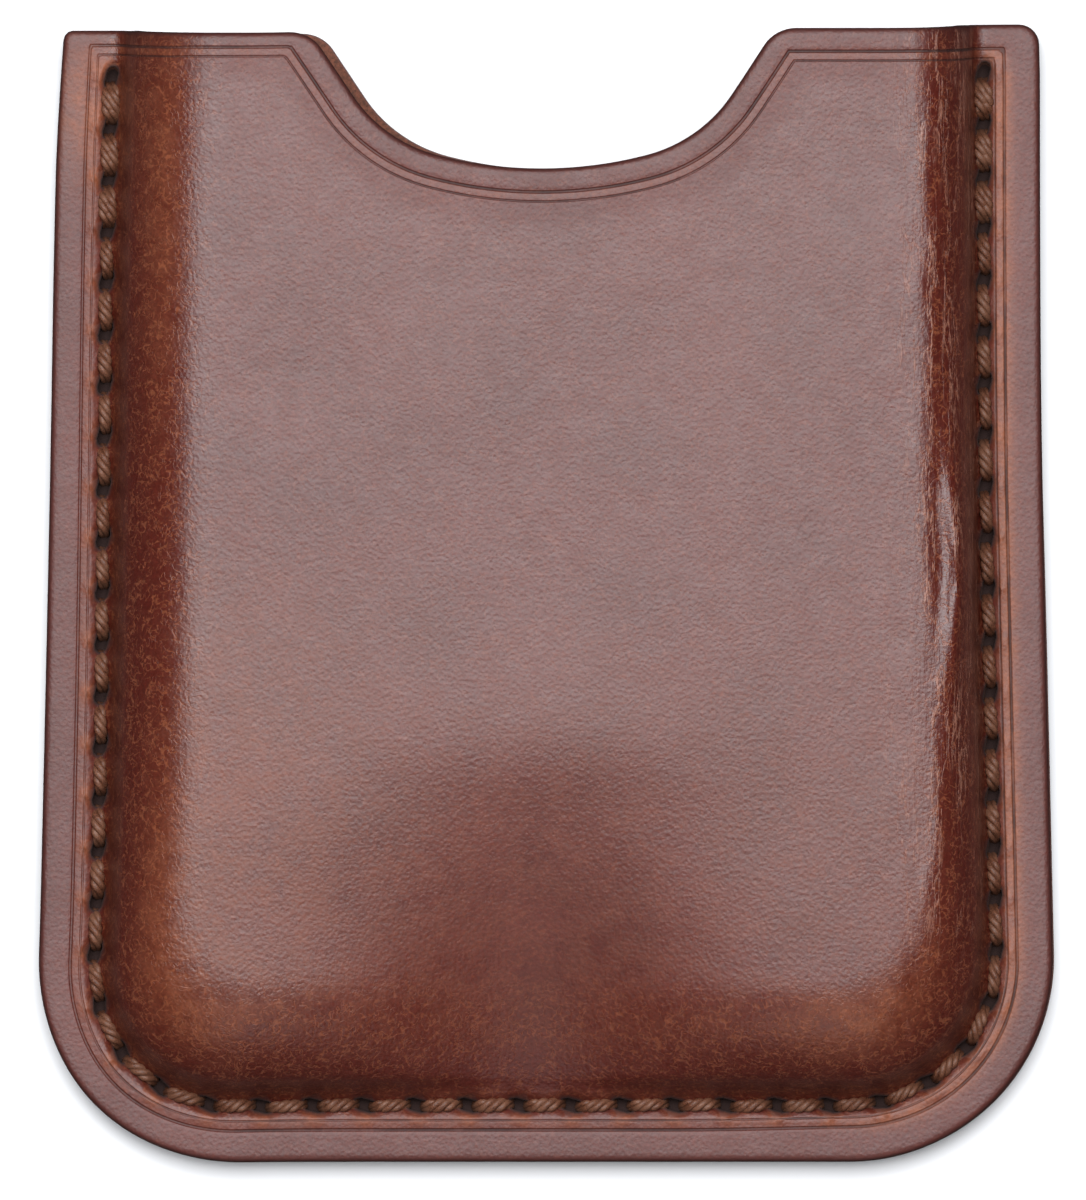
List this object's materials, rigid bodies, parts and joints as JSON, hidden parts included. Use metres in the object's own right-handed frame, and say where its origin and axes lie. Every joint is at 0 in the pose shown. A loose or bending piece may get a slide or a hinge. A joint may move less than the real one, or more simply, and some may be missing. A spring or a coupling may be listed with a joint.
{
  "type": "business card case",
  "caption": "Open-topped leather case for business cards: a moulded front panel stitched to a flat back panel on three sides, with a thumb notch in the mouth.",
  "frame": {"origin": "middle of the case's plan, on the back panel's outer face", "axes": "+Z out of the moulded front face, so that the case lies on its back; +Y from the stitched foot to the open mouth; +X to the right with the front face seen and the mouth up"},
  "size_m": [0.0824, 0.0924, 0.0128],
  "materials": {
    "front_leather": "waxed pull-up leather, semi-gloss",
    "back_leather": "waxed pull-up leather, semi-gloss",
    "thread": "waxed twisted thread"
  },
  "bodies": {
    "root": {"back_panel": "back_leather", "front_panel": "front_leather", "needle_thread": "thread", "bobbin_thread": "thread"}
  },
  "joints": []
}
